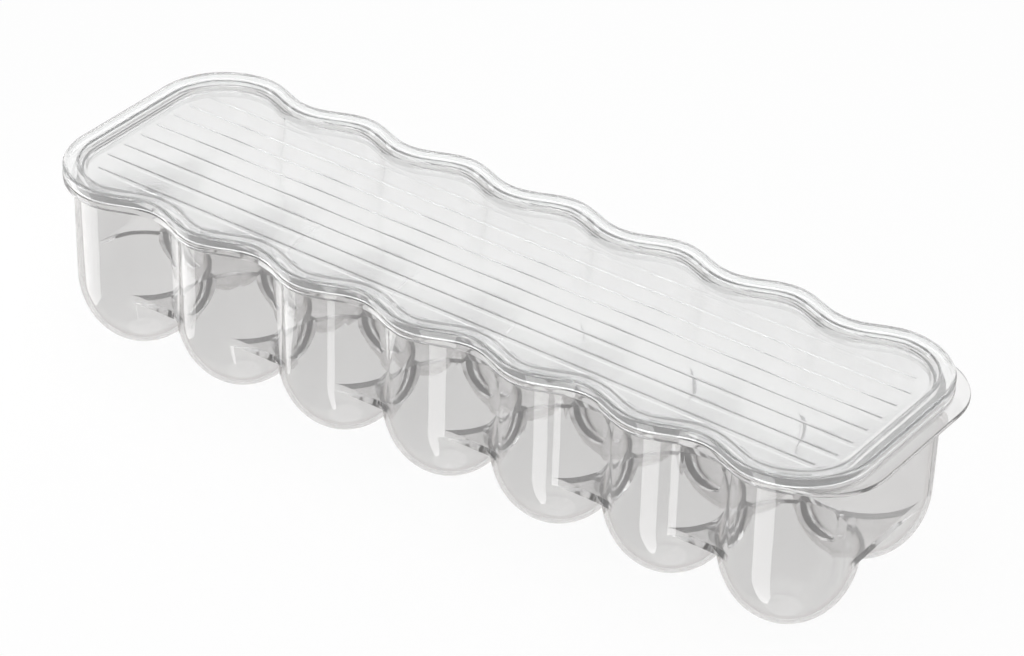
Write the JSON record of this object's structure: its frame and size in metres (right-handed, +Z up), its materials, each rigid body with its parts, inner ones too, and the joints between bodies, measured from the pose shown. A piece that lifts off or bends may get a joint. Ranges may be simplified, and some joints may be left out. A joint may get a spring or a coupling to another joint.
{
  "type": "egg storage box",
  "caption": "Clear wavy-sided egg storage box: a tray of round-bottomed egg cups in two rows with a finger lip, and a ribbed lift-off lid.",
  "frame": {"origin": "middle of the footprint, on the surface that the cup feet stand on", "axes": "+X along the rows towards the finger lip, +Y across the rows, +Z up"},
  "size_m": [0.3658, 0.1104, 0.0784],
  "materials": {
    "tray_plastic": "clear, polished, faint grey tint",
    "lid_plastic": "clear, polished, faint grey tint"
  },
  "bodies": {
    "tray": {"egg_tray": "tray_plastic"},
    "lid": {"lid": "lid_plastic"}
  },
  "joints": [
    {"name": "lid_lift", "type": "slide", "parent": "tray", "child": "lid", "axis": [0, 0, 1], "range_m": [0, 0.1]}
  ]
}
